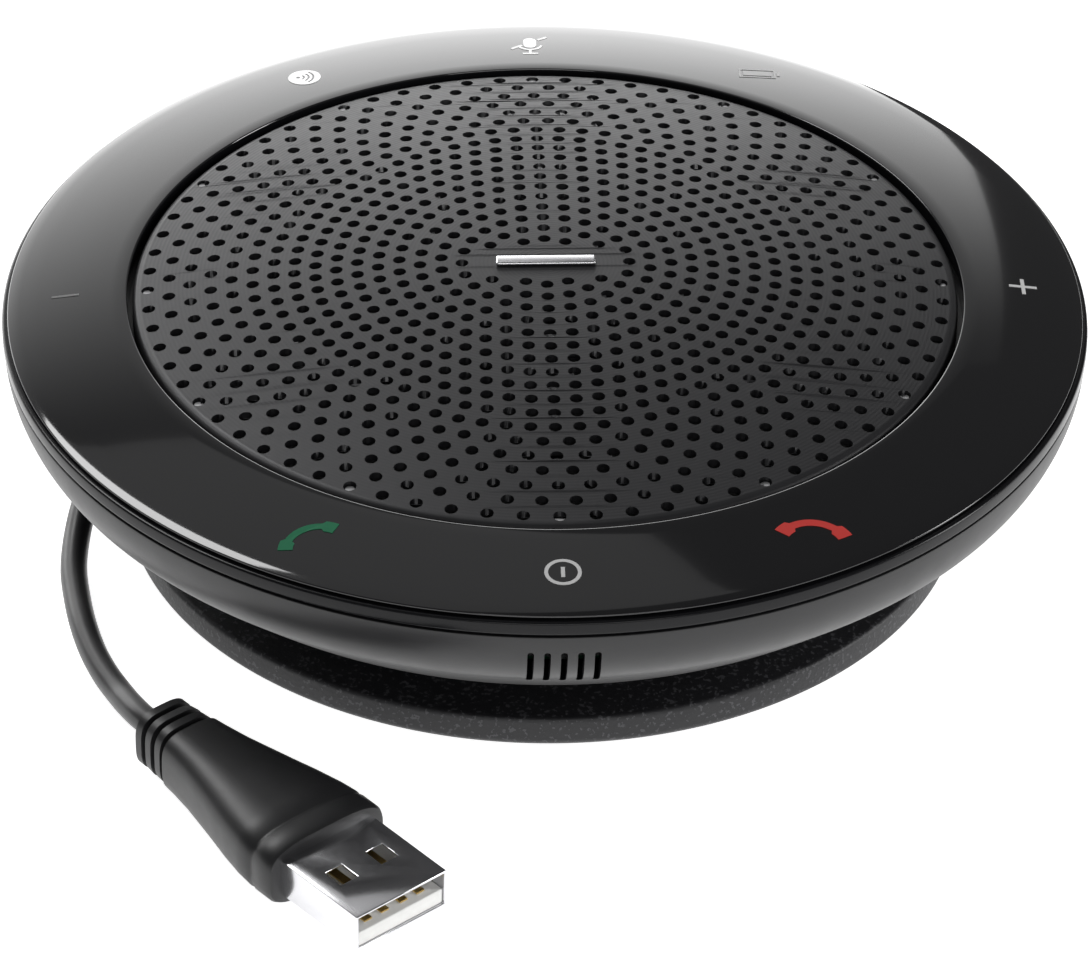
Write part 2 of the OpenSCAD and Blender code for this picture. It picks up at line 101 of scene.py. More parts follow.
# The cable's free stretch, in millimetres: off the winding, down to the table and to the plug
CABLE_ROUTE = [
    (-33.5, 20.5, 6.1), (-37.5, 16, 6.2), (-41, 12, 6.3), (-44.5, 8, 6.3), (-47.5, 4, 6), (-50, -0.5, 5),
    (-51.5, -5, 3.6), (-52.3, -10, 2.4), (-52.5, -15, 1.8), (-52, -20, 1.6), (-51.2, -25, 1.6),
    (-50, -30, 1.6), (-48.5, -34.5, 1.8), (-46.9, -38.4, 2.2), (-45.7, -41.4, 2.8), (-44.2, -44.6, 3.5),
    (-42.3, -47.4, 4),
]
PLUG_ANGLE = radians(-51)
PLUG_AT = Vector(CABLE_ROUTE[-1]) * MM


# ---- settings ----

class StageSettings(bpy.types.PropertyGroup):
    camera_at: FloatVectorProperty(
        name="Camera place", description="Where the camera stands", size=3, subtype="TRANSLATION",
        unit="LENGTH", default=(-0.0240, -0.5731, 0.4044))
    camera_turn: FloatVectorProperty(
        name="Camera turn", description="Tilt up from straight down, roll and pan of the camera", size=3,
        subtype="EULER", unit="ROTATION", default=(radians(54.94), radians(-0.63), radians(-1.97)))
    lens: FloatProperty(name="Lens", description="Focal length in millimetres", default=205.1)
    floor_glow: FloatProperty(name="Floor glow", description="Light given off by the pale floor", default=0.9)


class BodySettings(bpy.types.PropertyGroup):
    hole_d: FloatProperty(
        name="Hole diameter", description="Diameter of a grille hole", unit="LENGTH", default=1.45 * MM)
    hole_pitch: FloatProperty(
        name="Circle spacing", description="Distance between circles of holes",
        unit="LENGTH", default=2.31 * MM)
    circles: IntProperty(name="Circles", description="Circles of holes in the grille", default=19)
    plate_t: FloatProperty(
        name="Plate thickness", description="Thickness of the grille plate", unit="LENGTH", default=0.8 * MM)
    dome_r: FloatProperty(
        name="Dome radius", description="Radius of the grille's dome", unit="LENGTH", default=290 * MM)
    gloss: FloatVectorProperty(
        name="Gloss black", description="Colour of the ring and band",
        subtype="COLOR", default=(0.006, 0.006, 0.007))
    satin: FloatVectorProperty(
        name="Satin black", description="Colour of the housing",
        subtype="COLOR", default=(0.012, 0.012, 0.013))


class CableSettings(bpy.types.PropertyGroup):
    length: FloatProperty(name="Length", description="Real length of the cable", unit="LENGTH", default=0.9)
    diameter: FloatProperty(
        name="Diameter", description="Diameter of the cable", unit="LENGTH", default=3 * MM)
    jacket: FloatVectorProperty(
        name="Jacket", description="Colour of the cable's jacket",
        subtype="COLOR", default=(0.008, 0.008, 0.009))


def settings(name):
    return getattr(bpy.context.scene, name)


# ---- shader maths ----

class Value:
    """A shader socket, with Python's operators standing for Math nodes."""

    def __init__(self, shader, socket):
        self.shader = shader
        self.socket = socket

    def _math(self, operation, a, b):
        return self.shader.node("ShaderNodeMath", {"operation": operation}, {0: a, 1: b})

    def __add__(self, other):
        return self._math("ADD", self, other)

    __radd__ = __add__

    def __sub__(self, other):
        return self._math("SUBTRACT", self, other)

    def __rsub__(self, other):
        return self._math("SUBTRACT", other, self)

    def __mul__(self, other):
        return self._math("MULTIPLY", self, other)

    __rmul__ = __mul__

    def sine(self):
        return self._math("SINE", self, 0)

    def over(self, limit):
        return self._math("GREATER_THAN", self, limit)


class Shader:
    """One procedural material with a Principled shader."""

    def __init__(self, name, color, roughness, metallic=0.0, **fixed):
        self.material = bpy.data.materials.new(name)
        self.material.use_nodes = True
        self.tree = self.material.node_tree
        self.surface = self.tree.nodes["Principled BSDF"]
        self.set("Base Color", (*color, 1))
        self.set("Roughness", roughness)
        self.set("Metallic", metallic)
        for key, value in fixed.items():
            self.set(key.replace("_", " ").title().replace("Ior", "IOR"), value)

    def set(self, name, value):
        self.join(value, self.surface.inputs[name])

    def join(self, value, socket):
        if isinstance(value, Value):
            self.tree.links.new(value.socket, socket)
        else:
            socket.default_value = value

    def node(self, kind, choices=None, inputs=None, out=0):
        made = self.tree.nodes.new(kind)
        for key, value in (choices or {}).items():
            setattr(made, key, value)
        for key, value in (inputs or {}).items():
            self.join(value, made.inputs[key])
        return Value(self, made.outputs[out])

    def place(self):
        return self.node("ShaderNodeTexCoord", out="Object")

    def radius(self):
        flat = self.node("ShaderNodeVectorMath", {"operation": "MULTIPLY"}, {0: self.place(), 1: (1, 1, 0)})
        return self.node("ShaderNodeVectorMath", {"operation": "LENGTH"}, {0: flat}, out="Value")

    def noise(self, scale, detail=3.0):
        return self.node("ShaderNodeTexNoise", None,
                         {"Vector": self.place(), "Scale": scale, "Detail": detail})

    def bump(self, height, strength, distance):
        self.set("Normal", self.node(
            "ShaderNodeBump", None, {"Height": height, "Strength": strength, "Distance": distance}))

    def tint(self, mask, low, high):
        mixed = self.node("ShaderNodeMix", {"data_type": "RGBA"},
                          {0: mask, 6: (*low, 1), 7: (*high, 1)}, out=2)
        self.set("Base Color", mixed)


def gloss_black(name="ring_gloss"):
    shader = Shader(name, settings("body").gloss, 0.06, specular_ior_level=0.5,
                    coat_weight=0.35, coat_roughness=0.03)
    shader.set("Roughness", 0.05 + shader.noise(60) * 0.03)
    shader.bump(shader.noise(18, 1), 0.02, 0.0002)
    return shader.material


def band_black():
    shader = Shader("band_gloss", settings("body").gloss, 0.2, specular_ior_level=0.22)
    shader.set("Roughness", 0.16 + shader.noise(200) * 0.08)
    shader.bump(shader.noise(90, 1), 0.02, 0.0001)
    return shader.material


def grille_paint():
    shader = Shader("grille_paint", (0.02, 0.02, 0.022), 0.42, 0.3)
    turned = (shader.radius() * 14000).sine()
    shader.set("Roughness", 0.4 + turned * 0.05 + shader.noise(900) * 0.08)
    shader.bump(turned + shader.noise(2500) * 0.8, 0.12, 0.00002)
    return shader.material


def satin_black():
    shader = Shader("housing_satin", settings("body").satin, 0.38)
    shader.set("Roughness", 0.34 + shader.noise(400) * 0.1)
    shader.bump(shader.noise(3500, 2), 0.12, 0.00003)
    return shader.material


def speckled_base():
    shader = Shader("base_speckle", (0.016, 0.016, 0.018), 0.45)
    grain = shader.noise(1900, 4)
    shader.tint(grain.over(0.6), (0.014, 0.014, 0.016), (0.06, 0.06, 0.065))
    shader.set("Roughness", 0.36 + grain * 0.25)
    shader.bump(grain, 0.6, 0.0001)
    return shader.material


def soft_black(name, color, roughness=0.5):
    shader = Shader(name, color, roughness)
    shader.set("Roughness", roughness - 0.05 + shader.noise(700) * 0.1)
    shader.bump(shader.noise(4200, 2), 0.1, 0.00002)
    return shader.material


def woven(name, color, scale):
    shader = Shader(name, color, 0.85, sheen_weight=0.2)
    x, y = (shader.node("ShaderNodeSeparateXYZ", None, {0: shader.place()}, out=k) for k in (0, 1))
    weave = (x * scale).sine() * (y * scale).sine()
    shader.tint(weave.over(0.2), color, tuple(c * 2 + 0.004 for c in color))
    shader.bump(weave, 0.5, 0.00005)
    return shader.material


def metal(name, color, roughness=0.28):
    shader = Shader(name, color, roughness, 1.0)
    grain = shader.noise(1500, 3)
    shader.set("Roughness", roughness - 0.04 + grain * 0.08)
    shader.bump(grain, 0.03, 0.00002)
    return shader.material


def moulded(name, color, roughness=0.5):
    shader = Shader(name, color, roughness)
    grain = shader.noise(1200, 2)
    shader.tint(grain, tuple(c * 0.9 for c in color), color)
    shader.set("Roughness", roughness - 0.05 + grain * 0.1)
    shader.bump(grain, 0.05, 0.00003)
    return shader.material


# Printed ink colour plus an emission glow: the glow is painted light, and the print itself is no lamp.
def glowing_symbol_ink(name, color, glow):
    shader = Shader(name, color, 0.6, specular_ior_level=0.2)
    shader.tint(shader.noise(900, 2), tuple(c * 0.94 for c in color), color)
    shader.set("Emission Color", (*color, 1))
    shader.set("Emission Strength", glow)
    return shader.material


# ---- modelling helpers ----

def only(obj):
    bpy.ops.object.select_all(action="DESELECT")
    obj.select_set(True)
    bpy.context.view_layer.objects.active = obj
    return obj


def finish_piece(obj, name, material, slot, *nodes, body=HOUSING, angle=32):
    only(obj)
    obj.name = name
    obj.data.name = name
    if obj.type == "MESH":
        bpy.ops.object.shade_smooth_by_angle(angle=radians(angle))
    obj.data.materials.clear()
    obj.data.materials.append(material)
    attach(obj, body)
    if nodes:
        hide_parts(*nodes)
    return obj


def apply_modifier(obj, kind, **values):
    only(obj)
    modifier = obj.modifiers.new(kind.title(), kind)
    for key, value in values.items():
        setattr(modifier, key, value)
    bpy.ops.object.modifier_apply(modifier=modifier.name)


def edit(obj, select="DESELECT"):
    only(obj)
    bpy.ops.object.mode_set(mode="EDIT")
    bpy.ops.mesh.select_mode(type="VERT")
    bpy.ops.mesh.select_all(action=select)


def done():
    bpy.ops.object.mode_set(mode="OBJECT")


def rounded(corners, steps=4):
    """Replaces each corner (r, z, radius) of a closed outline, in millimetres, by an arc."""
    points = []
    for i, (x, y, radius) in enumerate(corners):
        here = Vector((x, y))
        back = (Vector(corners[i - 1][:2]) - here)
        ahead = (Vector(corners[(i + 1) % len(corners)][:2]) - here)
        if radius == 0:
            points.append(here)
            continue
        cut = min(radius, back.length * 0.49, ahead.length * 0.49)
        start = here + back.normalized() * cut
        end = here + ahead.normalized() * cut
        for k in range(steps + 1):
            t = k / steps
            points.append(start * (1 - t) ** 2 + here * 2 * t * (1 - t) + end * t ** 2)
    return [(p.x * MM, 0, p.y * MM) for p in points]


def lathe(corners, steps=256):
    """A closed outline turned about Z."""
    points = rounded(corners)
    mesh = bpy.data.meshes.new("outline")
    mesh.from_pydata(points, [(i, (i + 1) % len(points)) for i in range(len(points))], [])
    obj = bpy.data.objects.new("outline", mesh)
    bpy.context.scene.collection.objects.link(obj)
    apply_modifier(obj, "SCREW", steps=steps, render_steps=steps,
                   use_merge_vertices=True, merge_threshold=1e-6)
    edit(obj, "SELECT")
    bpy.ops.mesh.remove_doubles(threshold=1e-6)
    bpy.ops.mesh.normals_make_consistent(inside=False)
    done()
    return obj


def circle_points(radius, count, turn=0.0, at=(0, 0)):
    return [(at[0] + radius * cos(turn + 2 * pi * k / count), at[1] + radius * sin(turn + 2 * pi * k / count))
            for k in range(count)]


def filled(outlines):
    """A flat mesh from closed outlines: an outline inside another is a hole."""
    curve = bpy.data.curves.new("flat", "CURVE")
    curve.dimensions = "2D"
    curve.fill_mode = "BOTH"
    for outline in outlines:
        spline = curve.splines.new("POLY")
        spline.points.add(len(outline) - 1)
        spline.use_cyclic_u = True
        for point, (x, y) in zip(spline.points, outline):
            point.co = (x, y, 0, 1)
    obj = bpy.data.objects.new("flat", curve)
    bpy.context.scene.collection.objects.link(obj)
    only(obj)
    bpy.ops.object.convert(target="MESH")
    obj = bpy.context.object
    edit(obj, "SELECT")
    bpy.ops.mesh.remove_doubles(threshold=1e-6)
    done()
    return obj


def stroke(path, width):
    """The outline of a line drawn along a path, with a width that may vary from end to end."""
    left, right = [], []
    for i, point in enumerate(path):
        a = Vector(path[max(i - 1, 0)])
        b = Vector(path[min(i + 1, len(path) - 1)])
        side = (b - a).normalized()
        half = (width(i / (len(path) - 1)) if callable(width) else width) / 2
        across = Vector((-side.y, side.x)) * half
        left.append(tuple(Vector(point) + across))
        right.append(tuple(Vector(point) - across))
    return left + right[::-1]


def arc(radius, start, end, steps=16, at=(0, 0)):
    angles = [radians(start + (end - start) * k / steps) for k in range(steps + 1)]
    return [(at[0] + radius * cos(a), at[1] + radius * sin(a)) for a in angles]


# ---- stage ----

class SPEAKERPHONE_OT_stage(bpy.types.Operator):
    """Pale floor, reflector cards, soft lights and the camera"""
    bl_idname = "speakerphone.stage"
    bl_label = "Stage"

    def card(self, name, size, at, aim, strength, fade):
        bpy.ops.mesh.primitive_plane_add(size=1, location=(0, 0, 0))
        obj = bpy.context.object
        obj.name = name
        obj.scale = (size[0], size[1], 1)
        obj.location = at
        obj.rotation_euler = (Vector(aim) - Vector(at)).to_track_quat("Z", "Y").to_euler()
        material = bpy.data.materials.new(name)
        material.use_nodes = True
        tree = material.node_tree
        tree.nodes.clear()
        place = tree.nodes.new("ShaderNodeTexCoord")
        ramp = tree.nodes.new("ShaderNodeMapRange")
        split = tree.nodes.new("ShaderNodeSeparateXYZ")
        glow = tree.nodes.new("ShaderNodeEmission")
        output = tree.nodes.new("ShaderNodeOutputMaterial")
        ramp.interpolation_type = "SMOOTHSTEP"
        for key, value in zip((1, 2, 3, 4), (-0.5, 0.5, strength, strength * fade)):
            ramp.inputs[key].default_value = value
        tree.links.new(place.outputs["Object"], split.inputs[0])
        tree.links.new(split.outputs[1], ramp.inputs[0])
        tree.links.new(ramp.outputs[0], glow.inputs["Strength"])
        tree.links.new(glow.outputs[0], output.inputs[0])
        obj.data.materials.append(material)

    def light(self, name, at, size, power, aim=(0, 0, 0.02)):
        bpy.ops.object.light_add(type="AREA", location=at)
        lamp = bpy.context.object
        lamp.name = name
        lamp.data.shape = "RECTANGLE"
        lamp.data.size, lamp.data.size_y = size
        lamp.data.energy = power
        lamp.rotation_euler = (Vector(aim) - Vector(at)).to_track_quat("-Z", "Y").to_euler()

    def execute(self, context):
        choice = settings("stage")
        bpy.ops.object.camera_add(
            location=choice.camera_at, rotation=choice.camera_turn)
        camera = context.object
        camera.data.lens = choice.lens
        camera.data.sensor_width = 36
        context.scene.camera = camera
        bpy.ops.mesh.primitive_plane_add(size=6, location=(0, 0, 0))
        floor = context.object
        floor.name = "floor"
        shader = Shader("floor", (0.9, 0.9, 0.9), 0.9)
        shader.set("Emission Color", (1, 1, 1, 1))
        shader.set("Emission Strength", choice.floor_glow)
        floor.data.materials.append(shader.material)
        world = bpy.data.worlds.new("studio")
        world.use_nodes = True
        world.node_tree.nodes["Background"].inputs[0].default_value = (1, 1, 1, 1)
        world.node_tree.nodes["Background"].inputs[1].default_value = 0.12
        context.scene.world = world
        context.scene.view_settings.view_transform = "Standard"
        self.card("low_back_card", (1.7, 1.1), (-0.42, 1.25, 0.5), (0, 0, 0), 5.5, 0.03)
        self.card("high_card", (1.5, 1.1), (-0.55, 0.85, 1.2), (0, 0, 0), 0.42, 1.0)
        self.light("key", (-0.5, 0.55, 0.9), (0.5, 0.4), 5)
        self.light("right_strip", (0.9, -0.1, 0.32), (0.2, 0.6), 4)
        self.light("front_fill", (0.1, -1.1, 0.6), (0.8, 0.3), 2.5)
        return {"FINISHED"}


# ---- top of the body ----

def ring_height(radius):
    """Height of the ring's slightly crowned top, in metres."""
    t = (radius - RING_OPEN_R) / (RING_R - RING_OPEN_R)
    return (28.9 - 1.65 * t + 0.48 * t * (1 - t)) * MM


class SPEAKERPHONE_OT_ring(bpy.types.Operator):
    """Gloss touch ring and the rim band under it"""
    bl_idname = "speakerphone.ring"
    bl_label = "Touch ring"

    def execute(self, context):
        inner, outer = RING_OPEN_R / MM, RING_R / MM
        low = DECK / MM
        crown = [(r, ring_height(r * MM) / MM, 0) for r in (48, 50, 52, 54, 56, 58)]
        ring = lathe([(inner, low, 0), (inner, 28.9, 0.22), *crown, (outer, 27.2, 0.28), (outer, 26.95, 0.06),
                      (outer - 0.4, 26.9, 0), (outer - 0.4, 26.72, 0), (57.4, 26.72, 0), (57.4, low, 0)])
        gloss = gloss_black()
        finish_piece(ring, "touch_ring_visual", gloss, "ring_gloss", "touch_ring", angle=25)
        edge = BAND_R / MM
        band = lathe([(57.5, 25.1, 0), (edge, 25.1, 0.3), (edge, 26.7, 0.35), (57.5, 26.7, 0)])
        finish_piece(band, "rim_band_visual", band_black(), "ring_gloss", "rim_band", angle=40)
        return {"FINISHED"}


class SPEAKERPHONE_OT_grille(bpy.types.Operator):
    """Domed grille with its circles of holes, and the badge"""
    bl_idname = "speakerphone.grille"
    bl_label = "Grille"

    def holes(self, body):
        for n in range(2, body.circles + 1):
            radius = n * body.hole_pitch
            count = 6 * n if n <= 12 else 72
            turn = pi / 2 + (pi / count if n > 12 and n % 2 == 0 else 0)
            for x, y in circle_points(radius, count, turn):
                if not (abs(x) < BADGE_CLEAR_X and abs(y) < BADGE_CLEAR_Y):
                    yield circle_points(body.hole_d / 2, 14, at=(x, y))

    def smooth_dome(self, grille, centre, shoulder):
        """Gives the faces of the dome the sphere's own normals."""
        mesh = grille.data
        normals = [corner.vector.copy() for corner in mesh.corner_normals]
        for face in mesh.polygons:
            outward = (face.center - centre).normalized()
            side = face.normal.dot(outward)
            if abs(side) > 0.4 and hypot(face.center.x, face.center.y) < shoulder:
                for k in face.loop_indices:
                    place = mesh.vertices[mesh.loops[k].vertex_index].co
                    normals[k] = (place - centre).normalized() * (1 if side > 0 else -1)
        mesh.normals_split_custom_set(normals)

    def execute(self, context):
        body = settings("body")
        shoulder = GRILLE_R - 0.9 * MM
        grille = filled([circle_points(shoulder, RIM_STEPS), *self.holes(body)])
        centre = DOME_TOP - body.dome_r
        for vertex in grille.data.vertices:
            vertex.co.z = centre + sqrt(body.dome_r ** 2 - vertex.co.x ** 2 - vertex.co.y ** 2)
        edge_z = centre + sqrt(body.dome_r ** 2 - shoulder ** 2)
        edit(grille)
        bpy.ops.mesh.select_mode(type="EDGE")
        done()
        points = grille.data.vertices
        step = 2 * pi * shoulder / RIM_STEPS
        for edge in grille.data.edges:
            ends = [points[k].co for k in edge.vertices]
            on_rim = all(hypot(end.x, end.y) > shoulder - 1e-5 for end in ends)
            edge.select = on_rim and (ends[0] - ends[1]).length < 1.5 * step
        bpy.ops.object.mode_set(mode="EDIT")
        radius, height = shoulder, edge_z
        roll = ((0.45, -0.14), (0.72, -0.36), (0.85, -0.62), (0.9, -0.95), (0.9, -3))
        for out, drop in roll:
            wide, low = shoulder + out * MM, edge_z + drop * MM
            bpy.ops.mesh.extrude_region_move(TRANSFORM_OT_translate={"value": (0, 0, low - height)})
            bpy.ops.transform.resize(
                value=(wide / radius, wide / radius, 1), center_override=(0, 0, low))
            radius, height = wide, low
        bpy.ops.mesh.select_all(action="SELECT")
        bpy.ops.mesh.normals_make_consistent(inside=False)
        done()
        up = sum(face.normal.z for face in grille.data.polygons)
        if up < 0:
            edit(grille, "SELECT")
            bpy.ops.mesh.flip_normals()
            done()
        apply_modifier(grille, "SOLIDIFY", thickness=body.plate_t, offset=-1)
        finish_piece(grille, "grille_visual", grille_paint(), "grille_black", "speaker_grille", angle=35)
        self.smooth_dome(grille, Vector((0, 0, centre)), shoulder)
        bpy.ops.mesh.primitive_cube_add(size=1)
        badge = context.object
        low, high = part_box("badge")
        for vertex in badge.data.vertices:
            vertex.co = [(low[k] + high[k]) / 2 + vertex.co[k] * (high[k] - low[k]) for k in range(3)]
        apply_modifier(badge, "BEVEL", width=0.35 * MM, segments=5)
        finish_piece(badge, "badge_visual", metal("badge_silver", (0.78, 0.78, 0.8), 0.22),
                     "badge_silver", "badge")
        return {"FINISHED"}


class SPEAKERPHONE_OT_symbols(bpy.types.Operator):
    """Touch symbols printed on the ring, with a painted glow and with painted shade and painted highlight
    copies of the white print
    """
    bl_idname = "speakerphone.symbols"
    bl_label = "Touch symbols"

    def lay(self, name, shapes, angle, material, slot, turn=0.0):
        obj = filled([[(x * MM, y * MM) for x, y in shape] for shape in shapes])
        centre = Vector((cos(radians(angle)), sin(radians(angle)))) * SYMBOL_R
        c, s = cos(radians(turn)), sin(radians(turn))
        for vertex in obj.data.vertices:
            x, y = vertex.co.x, vertex.co.y
            vertex.co.x = centre.x + x * c - y * s
            vertex.co.y = centre.y + x * s + y * c
            vertex.co.z = ring_height(hypot(vertex.co.x, vertex.co.y)) + 0.06 * MM
        up = sum(face.normal.z for face in obj.data.polygons)
        if up < 0:
            edit(obj, "SELECT")
            bpy.ops.mesh.flip_normals()
            done()
        apply_modifier(obj, "SOLIDIFY", thickness=0.05 * MM, offset=-1)
        finish_piece(obj, name, material, slot)

    def handset(self, size):
        path = arc(size * 0.62, 150, 30, 24, at=(0, -size * 0.45))
        return [stroke(path, lambda t: size * (0.15 + 0.13 * (abs(2 * t - 1) > 0.62)))]

    def execute(self, context):
        # One white print in three copies: the grey one is painted shade for the minus at the left, and the
        # bright one is a painted highlight with a stronger glow for the mute and link symbols at the back.
        white = glowing_symbol_ink("symbol_white", (0.5, 0.5, 0.5), 0.15)
        painted_shade_white = glowing_symbol_ink("symbol_white_painted_shade", (0.2, 0.2, 0.2), 0.05)
        painted_highlight_white = glowing_symbol_ink("symbol_white_painted_highlight", (0.8, 0.8, 0.8), 0.5)
        lay = self.lay
        lay("symbol_plus", [stroke([(-1.55, 0), (1.55, 0)], 0.42)], 0, white, "symbol_white")
        lay("symbol_plus_bar", [stroke([(0, 0.21), (0, 1.5)], 0.42)], 0, white, "symbol_white")
        lay("symbol_plus_foot", [stroke([(0, -1.5), (0, -0.21)], 0.42)], 0, white, "symbol_white")
        lay("symbol_minus", [stroke([(-1.5, 0), (1.5, 0)], 0.35)], 180, painted_shade_white, "symbol_white")
        lay("symbol_power",
            [circle_points(1.95, 48), circle_points(1.55, 48), stroke([(0, -0.75), (0, 0.75)], 0.42)],
            270, white, "symbol_white")
        box = [(-2.3, -1.1), (2.0, -1.1), (2.0, 1.1), (-2.3, 1.1)]
        inside = [(-2.05, -0.85), (1.75, -0.85), (1.75, 0.85), (-2.05, 0.85)]
        charge = [(-1.8, -0.6), (1.5, -0.6), (1.5, 0.6), (-1.8, 0.6)]
        nub = [(2.1, -0.5), (2.5, -0.5), (2.5, 0.5), (2.1, 0.5)]
        lay("symbol_battery", [box, inside, charge, nub], 60, white, "symbol_white")
        capsule = arc(0.75, 0, 180, 12, at=(0, 0.9)) + arc(0.75, 180, 360, 12, at=(0, -0.3))
        lay("symbol_mute", [capsule], 90, painted_highlight_white, "symbol_white")
        lay("symbol_mute_cradle", [stroke(arc(1.35, 190, 350, 16, at=(0, -0.2)), 0.3)],
            90, painted_highlight_white, "symbol_white")
        lay("symbol_mute_stem", [stroke([(0, -1.7), (0, -2.5)], 0.3)], 90, painted_highlight_white, "symbol_white")
        lay("symbol_mute_foot", [stroke([(-0.9, -2.65), (0.9, -2.65)], 0.3)], 90, painted_highlight_white, "symbol_white")
        lay("symbol_mute_slash",
            [stroke([(-2.2, -1.3), (-0.95, -0.35)], 0.32), stroke([(0.95, 1.15), (2, 1.95)], 0.32)],
            90, painted_highlight_white, "symbol_white")
        waves = [stroke(arc(r, -50, 50, 10, at=(-0.7, 0)), 0.24) for r in (0.65, 1.2, 1.75)]
        lay("symbol_link", [circle_points(1.9, 48), circle_points(0.25, 12, at=(-0.75, 0)), *waves],
            120, painted_highlight_white, "symbol_white")
        green = glowing_symbol_ink("symbol_green", (0.0, 0.11, 0.045), 0.2)
        red = glowing_symbol_ink("symbol_red", (0.42, 0.03, 0.025), 0.25)
        lay("symbol_answer", self.handset(5.6), 240, green, "symbol_green", turn=28)
        lay("symbol_end_call", self.handset(6.2), 300, red, "symbol_red", turn=-2)
        return {"FINISHED"}


# ---- lower body ----

class SPEAKERPHONE_OT_housing(bpy.types.Operator):
    """Lower housing with its microphone slots, spool and base disc"""
    bl_idname = "speakerphone.housing"
    bl_label = "Lower housing"

    def slot_cutter(self, x):
        bpy.ops.mesh.primitive_cylinder_add(
            vertices=24, radius=0.35 * MM, depth=12 * MM,
            location=(x, -57 * MM, 22.35 * MM), rotation=(pi / 2, 0, 0))
        cutter = bpy.context.object
        bpy.ops.object.transform_apply(location=True, rotation=True, scale=True)
        for vertex in cutter.data.vertices:
            if vertex.co.z < 22.34 * MM:
                vertex.co.z -= 6.3 * MM
        return cutter

    def execute(self, context):
        satin = satin_black()
        bulge = [(49.3 + 10.6 * cos(radians(a)), 24.8 + 10.6 * sin(radians(a)), 0)
                 for a in range(-4, -52, -4)]
        inside = [(49.3 + 8.8 * cos(radians(a)), 24.8 + 8.8 * sin(radians(a)), 0) for a in range(-50, 0, 10)]
        housing = lathe([(59.3, 25.1, 0), (59.3, 24.8, 0), (59.9, 24.8, 0.15), *bulge, (55.5, 16.2, 0.5),
                         (54.6, 15.3, 0.4), (51, 12.1, 0.5), (49.6, 11, 0.6), (25, 11, 0), (25, 12.8, 0),
                         (49.4, 12.8, 0), *inside, (58.1, 25.1, 0)], steps=240)
        for i in range(-2, 3):
            cutter = self.slot_cutter(i * 1.75 * MM)
            apply_modifier(housing, "BOOLEAN", operation="DIFFERENCE", object=cutter, solver="EXACT")
            bpy.data.objects.remove(cutter)
        finish_piece(housing, "lower_housing_visual", satin, "housing_satin", "lower_housing", angle=28)
        edge = BASE_R / MM
        base = lathe([(20, 0.9, 0), (20, 0.6, 0.1), (37.9, 0.6, 0.1), (37.9, 1.4, 0), (43.1, 1.4, 0),
                      (43.1, 0.6, 0.1),
                      (edge - 0.8, 0.6, 0.3), (edge, 1.4, 0.4), (edge - 0.1, 4.4, 0.6),
                      (33.5, 4.4, 0), (24, 4.4, 0),
                      (24, 2.8, 0), (0.01, 2.8, 0), (0.01, 0.9, 0)])
        finish_piece(base, "base_disc_visual", speckled_base(), "base_textured", "base_disc", angle=30)
        foot = lathe([(38, 1.4, 0), (38, 0, 0.35), (43, 0, 0.35), (43, 1.4, 0)])
        finish_piece(foot, "foot_ring_visual", soft_black("foot_rubber", (0.012, 0.012, 0.012), 0.7),
                     "rubber", "foot_ring")
        return {"FINISHED"}


# ---- cable and plug ----

def eased(value, start, end):
    t = min(max((value - start) / (end - start), 0), 1)
    return t * t * (3 - 2 * t)


class SPEAKERPHONE_OT_cable(bpy.types.Operator):
    """The whole cable on one line: its turns on the spool and its free stretch"""
    bl_idname = "speakerphone.cable"
    bl_label = "Cable"

    def winding(self):
        start = 273 + 6.59
        total = 130 + 4 * 360 - start
        count = 180
        inner_turn = 34.83
        outer_turn = 37.75
        points = []
        for k in range(count + 1):
            a = total * k / count
            radius = inner_turn + (outer_turn - inner_turn) * eased(a, 620, 660)
            height = 6.3 - 0.25 * eased(a, 20, 60) + 3.12 * (eased(a, 300, 340) - eased(a, 940, 980))
            angle = radians(start + a)
            points.append(Vector((radius * cos(angle), radius * sin(angle), height)))
        return points

    def smooth(self, points, steps=4):
        line = []
        for i in range(len(points) - 1):
            p0, p1 = points[max(i - 1, 0)], points[i]
            p2, p3 = points[i + 1], points[min(i + 2, len(points) - 1)]
            for k in range(steps):
                t = k / steps
                line.append(0.5 * (2 * p1 + (p2 - p0) * t + (2 * p0 - 5 * p1 + 4 * p2 - p3) * t ** 2
                                   + (3 * p1 - p0 - 3 * p2 + p3) * t ** 3))
        return line + [points[-1]]

    def execute(self, context):
        cable = settings("cable")
        turns = self.winding()
        free = self.smooth([turns[-1]] + [Vector(p) for p in CABLE_ROUTE])
        line = [p * MM for p in turns[:-1] + free]
        curve = bpy.data.curves.new("cable", "CURVE")
        curve.dimensions = "3D"
        curve.bevel_depth = cable.diameter / 2
        curve.bevel_resolution = 6
        curve.use_fill_caps = True
        spline = curve.splines.new("POLY")
        spline.points.add(len(line) - 1)
        for point, place in zip(spline.points, line):
            point.co = (*place, 1)
        spline.use_smooth = True
        obj = bpy.data.objects.new("cable", curve)
        context.scene.collection.objects.link(obj)
        jacket = soft_black("cable_jacket", cable.jacket, 0.36)
        finish_piece(obj, "cable_visual", jacket, "cable_black", "cable_winding", "cable_run")
        pieces = [bpy.data.objects[name]
                  for name in ("plug_grip_visual", "plug_shell_visual", "plug_insulator_visual")]
        pieces += [frame["nodes"]["plug_contacts"], frame["nodes"]["cable_gland"]]
        return {"FINISHED"}


